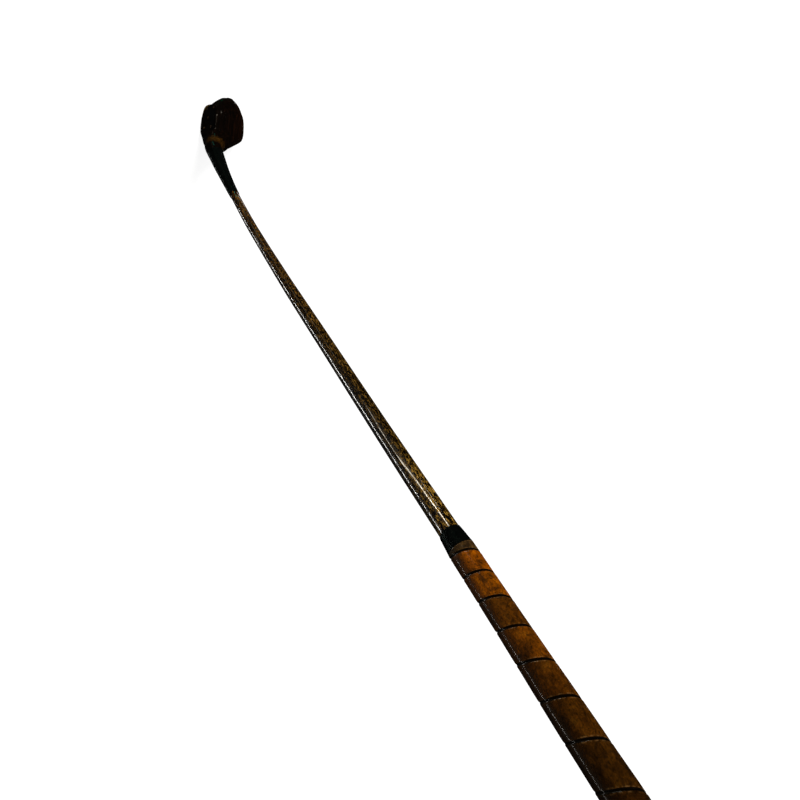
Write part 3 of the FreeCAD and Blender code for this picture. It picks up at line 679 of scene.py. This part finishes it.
# =====================================================================
# windings of waxed thread
# =====================================================================
def winding(name, node, u0, u1, outer, inner, pitch, depth, seed, segs=64, per=6, hand=1):
    """Thread wound side by side: outer and inner radii are functions of u (arrays)."""
    us = np.arange(u0, u1 + 1e-6, pitch / per)
    th = np.arange(segs) / segs * 2 * math.pi
    U, T = np.meshgrid(us, th, indexing="ij")
    ph = U / pitch + hand * T / (2 * math.pi) + 0.06 * wob(U / 6.0, T, seed)
    w = np.abs(np.sin(math.pi * ph)) ** 0.62
    turn = np.floor(ph)
    lift = 0.16 * np.sin(turn * 12.9898 + seed) * 0.35
    R = outer(us)[:, None] - depth + depth * w * (1.0 + lift) + 0.03 * wob(U / 11.0, T, seed + 1)
    # the first and last turns round over
    d = np.minimum(U - u0, u1 - U)
    R = R - 0.38 * np.clip(1 - d / 0.5, 0, 1) ** 2
    rows_u = np.concatenate([U, np.full((1, segs), u1), np.full((1, segs), (u0 + u1) / 2), np.full((1, segs), u0)])
    ri = np.array([float(inner(np.array([q]))[0]) for q in (u1, (u0 + u1) / 2, u0)])
    rows_r = np.concatenate([R, np.repeat(ri[:, None], segs, 1)])
    rows_t = np.concatenate([T, np.repeat(th[None], 3, 0)])
    P, F = rod_points(rows_u, rows_t, rows_r)
    ob = grid_mesh(name, P, close_r=True, attrs={"rod": F * MM}, sharp=0)
    paint(ob, M_THREAD)
    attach(ob, "root")
    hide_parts(node)
    return ob


winding("neck_thread", "neck_whipping", 76.0, 196.8, lambda u: rad(NECK, u) + 0.02, lambda u: np.where(u < 160, rad(NECK, u) - 0.98, srad(u) - 0.05), 0.66, 0.17, 21, segs=72)
r772, r788 = float(srad(772.0)[0]), float(srad(788.0)[0])
winding("collar_thread", "lower_grip_whipping", 772.0, 788.6,
        lambda u: np.interp(u, [772.0, 773.0, 777.0, 783.0, 788.6], [r772 + 0.4, r772 + 0.65, r772 + 1.0, 9.8, 10.36]),
        lambda u: srad(u) - 0.05, 0.78, 0.26, 31, segs=80, per=7)
r1074 = float(srad(1074.0)[0])
winding("butt_thread", "butt_whipping", 1073.7, 1078.2,
        lambda u: np.interp(u, [1073.7, 1076.4, 1077.4, 1078.2], [12.6, 12.45, r1074 + 2.0, r1074 + 1.0]),
        lambda u: srad(u) - 0.05, 0.78, 0.26, 41, segs=80, per=7)

# =====================================================================
# leather: one strip wound up the grip, edge against edge
# =====================================================================
SEAM_Q = np.arange(-4, 15, dtype=float)
SEAM_U = np.array([729.0, 745.0, 761.0, 777.7, 795.2, 814.2, 835.6, 859.2, 884.1, 910.1, 936.5, 966.0, 995.6, 1025.6, 1056.0, 1087.0, 1118.0, 1149.0, 1180.0])


def seam_u(q):
    return pchip(SEAM_Q, SEAM_U, np.atleast_1d(q))


def q_of(u):
    q = np.linspace(-4, 14, 4001)
    return float(np.interp(u, seam_u(q), q))


q0, q1 = q_of(GRIP_U) - 1.0, q_of(GRIP_END)
qs = np.arange(q0 + 0.004, q1 - 0.004, 1.0 / 96)
# tone of each turn of the strip, darker towards the butt
TINT_Q = np.array([-1.6, -0.9, -0.5, 0.0, 0.5, 1.0, 1.5, 2.0, 2.5, 3.0, 3.5, 4.0, 4.5, 5.5, 6.5, 8.0, 11.0])
TINT = np.array([(0.34, 0.62, 9.0), (0.34, 0.62, 9.0), (0.34, 0.62, 7.0), (1.26, 1.1, 0.5), (1.26, 1.1, 0.5), (1.24, 1.14, 0.6), (1.2, 1.14, 0.6), (0.45, 0.49, 1.4),
                 (0.45, 0.49, 1.4), (0.68, 0.66, 1.0), (0.68, 0.66, 1.0), (0.35, 0.37, 1.0), (0.35, 0.37, 1.0), (0.25, 0.31, 1.0), (0.165, 0.2, 1.0), (0.15, 0.18, 1.0), (0.14, 0.17, 1.0)])
prof_t = np.array([0.0, 0.006, 0.02, 0.045, 0.08, 0.14, 0.22, 0.32, 0.42, 0.5, 0.58, 0.68, 0.78, 0.86, 0.92, 0.955, 0.98, 0.994, 1.0])
nt = len(prof_t)
rowsP, rowsF, rowsE, rowsH = [], [], [], []
for q in qs:
    lo = max(float(seam_u(q)[0]), GRIP_U)
    hi = min(float(seam_u(q + 1)[0]), GRIP_END)
    th_q = math.radians(137.0) - 2 * math.pi * q
    wan_lo = 0.28 * float(wob(np.array(q * 5.0), 0, 71)) if lo > GRIP_U else 0.0
    wan_hi = 0.28 * float(wob(np.array((q + 1) * 5.0), 0, 71)) if hi < GRIP_END else 0.0
    a, b = lo + 0.1 + wan_lo, hi - 0.1 + wan_hi
    if b - a < 0.1:
        m_ = (lo + hi) / 2
        a, b = m_ - 0.05, m_ + 0.05
    wdt = b - a
    u = a + prof_t * wdt
    d = np.minimum(prof_t, 1 - prof_t) * wdt
    e = np.clip(1 - d / min(1.5, wdt / 2), 0, 1)
    base_out = grad(u)
    drop = 0.42 * e ** 2.4
    crown = 0.10 * (1 - (2 * prof_t - 1) ** 4)
    lip = 0.12 * np.exp(-((d - 1.5) / 0.7) ** 2) * (prof_t < 0.5)
    r_out = base_out - drop - 0.06 + crown + lip + 0.05 * wob(u / 5.0, th_q * 2, 73)
    r_in = srad(u) + LISTING_T + 0.02
    uu = np.concatenate([u, u[::-1]])
    rr = np.concatenate([r_out, r_in[::-1]])
    ee = np.concatenate([e, np.ones(nt)])
    P, F = rod_points(uu, np.full(2 * nt, th_q), rr)
    rowsP.append(P)
    rowsF.append(F)
    rowsE.append(ee)
    tq = np.array([np.interp(q, TINT_Q, TINT[:, k]) for k in range(3)])
    rowsH.append(np.repeat(tq[None], 2 * nt, 0))
leather_ob = grid_mesh("leather_strip", np.array(rowsP), cap0=True, cap1=True,
                       attrs={"rod": np.array(rowsF) * MM, "edge": np.array(rowsE), "band_tone": np.array(rowsH)}, sharp=55)
paint(leather_ob, M_LEATHER)
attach(leather_ob, "root")
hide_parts("grip_leather_strip")

# =====================================================================
# pieces kept as they are, with their finishes
# =====================================================================
for nm, mat in (("face_insert", M_FIBRE), ("face_insert_screws", M_SCREW), ("sole_plate", M_BRASS), ("sole_plate_screws", M_BRASS),
                ("lead_back_weight", M_LEAD), ("grip_underlisting", M_CLOTH), ("grip_tacks", M_BRASS)):
    paint(nodes[nm], mat)

# =====================================================================
# floor, light, camera
# =====================================================================
fm = Mat("pale_floor")
fm_n = fm.noise(fm.obj(), 3.0, 3.0)
fm.put(color=fm.ramp(fm_n, [(0.3, (0.19, 0.19, 0.19)), (0.7, (0.21, 0.21, 0.21))]), rough=0.9, spec=0.0)
fm.b.inputs["Emission Color"].default_value = (1.0, 1.0, 1.0, 1.0)
fm.b.inputs["Emission Strength"].default_value = 0.9
bm = bmesh.new()
bmesh.ops.create_grid(bm, x_segments=2, y_segments=2, size=15.0)
me = bpy.data.meshes.new("floor")
bm.to_mesh(me)
bm.free()
floor = bpy.data.objects.new("floor", me)
floor.location = (0, 0, -0.0006)
bpy.context.scene.collection.objects.link(floor)
paint(floor, fm.m)
floor.visible_diffuse = False
floor.visible_glossy = False
floor.visible_shadow = False

world = bpy.data.worlds.new("studio")
bpy.context.scene.world = world
world.use_nodes = True
wn = world.node_tree.nodes
wl = world.node_tree.links
wn.clear()
wo = wn.new("ShaderNodeOutputWorld")
w_dim = wn.new("ShaderNodeBackground")
w_dim.inputs[0].default_value = (1.0, 1.0, 1.0, 1)
w_dim.inputs[1].default_value = 0.09
w_mir = wn.new("ShaderNodeBackground")
w_mir.inputs[0].default_value = (1.0, 1.0, 1.0, 1)
w_mir.inputs[1].default_value = 0.015
w_cam = wn.new("ShaderNodeBackground")
w_cam.inputs[0].default_value = (1, 1, 1, 1)
w_cam.inputs[1].default_value = 1.0
w_mix = wn.new("ShaderNodeMixShader")
w_lp = wn.new("ShaderNodeLightPath")
w_mix2 = wn.new("ShaderNodeMixShader")
wl.new(w_lp.outputs["Is Glossy Ray"], w_mix2.inputs[0])
wl.new(w_dim.outputs[0], w_mix2.inputs[1])
wl.new(w_mir.outputs[0], w_mix2.inputs[2])
wl.new(w_lp.outputs["Is Camera Ray"], w_mix.inputs[0])
wl.new(w_mix2.outputs[0], w_mix.inputs[1])
wl.new(w_cam.outputs[0], w_mix.inputs[2])
wl.new(w_mix.outputs[0], wo.inputs[0])

C = Vector((-0.389871, -0.360396, 1.010765))
CR, CU, CB = Vector((0.774084, 0.143237, 0.616666)), Vector((-0.107293, 0.98966, -0.095194)), Vector((-0.623925, 0.007524, 0.781448))


def sun(name, direction, strength, angle, color=(1, 1, 1), glossy=True):
    li = bpy.data.lights.new(name, "SUN")
    li.energy = strength
    li.angle = math.radians(angle)
    li.color = color
    ob = bpy.data.objects.new(name, li)
    ob.rotation_mode = "QUATERNION"
    ob.rotation_quaternion = Vector(direction).normalized().to_track_quat("Z", "Y")
    ob.location = Vector(direction).normalized() * 4
    bpy.context.scene.collection.objects.link(ob)
    ob.visible_glossy = glossy
    return ob


def strip(name, a, b, width, radiance, look_at, color=(1, 1, 1), diffuse=True):
    """A long thin area light from a to b (metres), facing look_at."""
    a, b = Vector(a), Vector(b)
    li = bpy.data.lights.new(name, "AREA")
    li.shape = "RECTANGLE"
    li.size = (b - a).length
    li.size_y = width
    li.energy = radiance * math.pi * li.size * li.size_y * 1.0
    li.color = color
    ob = bpy.data.objects.new(name, li)
    x = (b - a).normalized()
    z = ((a + b) / 2 - Vector(look_at))
    z = (z - x * z.dot(x)).normalized()
    y = z.cross(x)
    mt = Matrix((x, y, z)).transposed().to_4x4()
    mt.translation = (a + b) / 2
    ob.matrix_world = mt
    bpy.context.scene.collection.objects.link(ob)
    ob.visible_camera = False
    ob.visible_diffuse = diffuse
    return ob


p_dir = (CR * 0.85 + CU * 0.53).normalized()
sun("key", CB * 0.66 + p_dir * 0.75 + Vector((0, 0.12, 0.05)), 3.5, 28, (1.0, 0.985, 0.96), glossy=False)
sun("top", (0.15, 0.1, 1.0), 0.7, 50, glossy=False)
sun("under_fill", CB * -0.95 + CR * 0.25, 2.2, 40, glossy=False)


def on_shaft(u, th_deg, r=None):
    rr = float(srad(u)[0]) if r is None else r
    pt, _ = rod_points(np.array([u]), np.array([math.radians(th_deg)]), np.array([rr]))
    ax, _ = rod_points(np.array([u]), np.array([0.0]), np.array([0.0]))
    n = (pt - ax)[0]
    return Vector((pt[0] * MM).tolist()), Vector((n / np.linalg.norm(n)).tolist())


def mirror_at(u, phi, dist):
    """Where a light must stand to be seen mirrored in the shaft at u, phi degrees right of its middle as the camera sees it."""
    best = None
    for t in range(0, 360, 1):
        p, n = on_shaft(u, t)
        v = (C - p).normalized()
        s = (v - Vector(S_UP.tolist()) * v.dot(Vector(S_UP.tolist()))).normalized()
        side = s.cross(Vector(S_UP.tolist())).normalized()
        if side.dot(CR) < 0:
            side = -side
        want = s * math.cos(math.radians(phi)) + side * math.sin(math.radians(phi))
        e = (n - want).length
        if best is None or e < best[0]:
            best = (e, p, n, v)
    _, p, n, v = best
    r = (n * 2 * n.dot(v) - v).normalized()
    return p + r * dist, p


def row_u(y):
    """The distance along the club of the place seen on row y of the 800 x 800 frame."""
    best = None
    for u in range(200, 1080):
        p, _ = on_shaft(float(u), 0.0, 0.01)
        d = p - C
        e = abs(400.0 - 688.7 * d.dot(CU) / -d.dot(CB) - y)
        if best is None or e < best[0]:
            best = (e, float(u))
    return best[1]


for k, (ya, fa, yb, fb, rad_k, w_k) in enumerate(((410.0, 0.0, 440.0, -9.0, 14.0, 0.03), (430.0, -9.0, 468.0, -9.0, 34.0, 0.03), (462.0, -9.0, 496.0, 6.0, 30.0, 0.03),
                                                  (488.0, 5.0, 529.0, 14.0, 85.0, 0.04), (486.0, 24.0, 512.0, 25.0, 38.0, 0.02))):
    aR, pR = mirror_at(row_u(ya), fa, 0.9)
    bR, qR = mirror_at(row_u(yb), fb, 0.9)
    strip("right_line_%d" % k, aR, bR, w_k, rad_k, (pR + qR) / 2, (1.0, 0.9, 0.72), diffuse=False)
aM, pM = mirror_at(210.0, 12.0, 1.2)
bM, qM = mirror_at(560.0, 4.0, 1.0)
strip("middle_line", aM, bM, 0.05, 2.5, (pM + qM) / 2, (1.0, 0.85, 0.6), diffuse=False)
aN, pN = mirror_at(90.0, 24.0, 0.8)
bN, qN = mirror_at(192.0, 24.0, 0.8)
strip("neck_line", aN, bN, 0.014, 26.0, (pN + qN) / 2, (0.15, 1.0, 0.7), diffuse=False)
for k, (ua, pa, ub, pb, w_k, rad_k) in enumerate(((235.0, -36.0, 400.0, -37.0, 0.006, 55.0), (400.0, -37.0, 560.0, -38.0, 0.011, 62.0), (560.0, -38.0, 776.0, -40.0, 0.011, 95.0),
                                                  (790.0, -42.0, 1075.0, -46.0, 0.006, 75.0))):
    aL, pL = mirror_at(ua, pa, 0.36)
    bL, qL = mirror_at(ub, pb, 0.36)
    strip("left_line_%d" % k, aL, bL, w_k, rad_k, (pL + qL) / 2, (1.0, 0.99, 0.95), diffuse=False)


def glint(name, px, py, dist, w, h, radiance, color=(1, 1, 1)):
    """A small light seen mirrored in the head at a place of the 800 x 800 frame."""
    d = (CR * (px - 400.0) + CU * (400.0 - py) - CB * 688.7).normalized()
    hit, loc, nrm, _ = head.ray_cast(C, d)
    if not hit:
        return
    r = (d - nrm * 2 * nrm.dot(d)).normalized()
    p = loc + r * dist
    x = r.cross(Vector((0, 0, 1))).normalized()
    strip(name, p - x * w / 2, p + x * w / 2, h, radiance, loc, color, diffuse=False)


glint("neck_glint", 219.0, 145.0, 0.7, 0.02, 0.08, 14.0)
glint("toe_glint", 213.0, 106.0, 0.8, 0.03, 0.04, 9.0)

cam = bpy.data.cameras.new("camera")
cam.sensor_width = 36.0
cam.lens = 688.7 / 800.0 * 36.0
cam.clip_start, cam.clip_end = 0.01, 60.0
co = bpy.data.objects.new("camera", cam)
ROLL = -0.0011
pivot = (CR * (222.0 - 400.0) + CU * (400.0 - 150.0) - CB * 688.7).normalized()
turn = Matrix.Rotation(ROLL, 3, pivot)
mw = (turn @ Matrix((CR, CU, CB)).transposed()).to_4x4()
mw.translation = C
co.matrix_world = mw
bpy.context.scene.collection.objects.link(co)
bpy.context.scene.camera = co
bpy.context.scene.view_settings.view_transform = "Standard"
bpy.context.scene.view_settings.look = "None"
